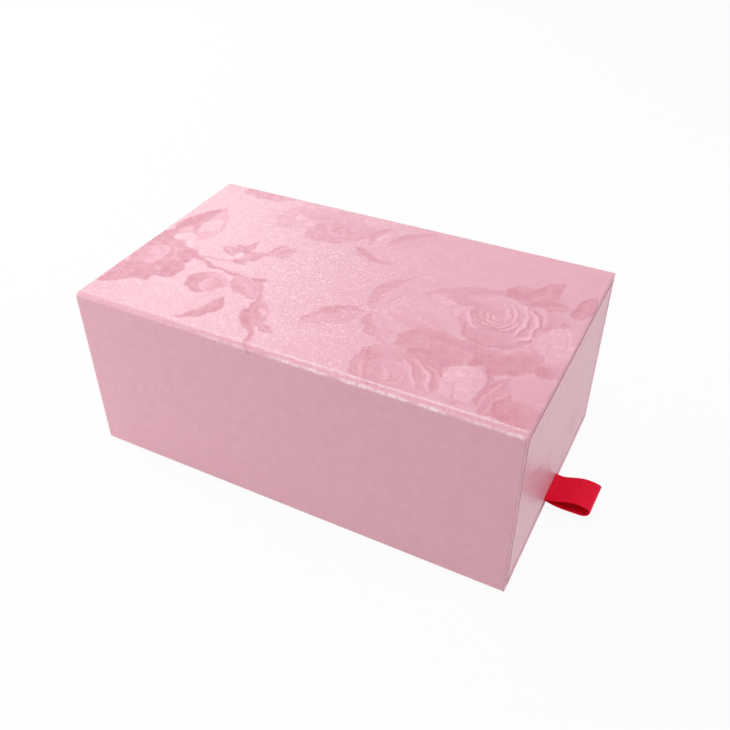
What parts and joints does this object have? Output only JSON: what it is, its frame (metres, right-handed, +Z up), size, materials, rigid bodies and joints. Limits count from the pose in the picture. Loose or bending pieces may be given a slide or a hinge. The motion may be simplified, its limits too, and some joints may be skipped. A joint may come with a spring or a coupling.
{
  "type": "sliding drawer gift box",
  "caption": "Rigid paper-covered gift box: a low oblong sleeve closed at one end, with a tray drawer that slides out of its mouth by a ribbon loop.",
  "frame": {"origin": "centre of the sleeve's base, on the surface that it stands on", "axes": "+X out of the mouth, along the drawer's slide; +Z up from the base; +Y from the long side seen in the picture towards the hidden long side"},
  "size_m": [0.2471, 0.134, 0.094],
  "materials": {
    "greyboard": "matte",
    "pearl_paper": "satin",
    "lining_paper": "matte",
    "kraft_tape": "matte",
    "ribbon": "satin"
  },
  "bodies": {
    "sleeve": {"sleeve_top_board": "greyboard", "sleeve_bottom_board": "greyboard", "sleeve_near_board": "greyboard", "sleeve_far_board": "greyboard", "sleeve_end_board": "greyboard", "sleeve_corner_tapes": "kraft_tape", "sleeve_wrap": "pearl_paper", "sleeve_base_sheet": "pearl_paper", "sleeve_end_sheet": "pearl_paper", "sleeve_lining": "lining_paper"},
    "drawer": {"drawer_floor_board": "greyboard", "drawer_front_board": "greyboard", "drawer_back_board": "greyboard", "drawer_near_board": "greyboard", "drawer_far_board": "greyboard", "drawer_corner_tapes": "kraft_tape", "drawer_wrap": "pearl_paper", "drawer_base_sheet": "pearl_paper", "drawer_wall_lining": "lining_paper", "drawer_floor_lining": "lining_paper", "ribbon_pull": "ribbon", "ribbon_patch": "lining_paper"}
  },
  "joints": [
    {"name": "drawer_slide", "type": "slide", "parent": "sleeve", "child": "drawer", "axis": [1, 0, 0], "range_m": [0, 0.21]}
  ]
}
